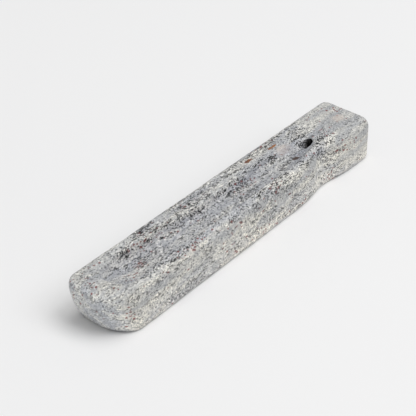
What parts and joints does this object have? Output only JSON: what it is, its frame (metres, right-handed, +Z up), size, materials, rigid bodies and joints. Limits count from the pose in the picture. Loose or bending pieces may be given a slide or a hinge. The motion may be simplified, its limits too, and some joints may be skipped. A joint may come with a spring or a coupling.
{
  "type": "incense burner",
  "caption": "Long carved granite bar that holds a leaning incense stick in a slanted bore over an ash trough, with a rounded undercut nose and a pinched waist.",
  "frame": {"origin": "on the flat underside, under the middle of the overall length and width", "axes": "+X from the rounded nose to the square end with the bore, +Y away from the waisted side, +Z up"},
  "size_m": [0.238, 0.0356, 0.0261],
  "materials": {
    "granite": "honed speckled granite"
  },
  "bodies": {
    "root": {"stone_body": "granite"}
  },
  "joints": []
}
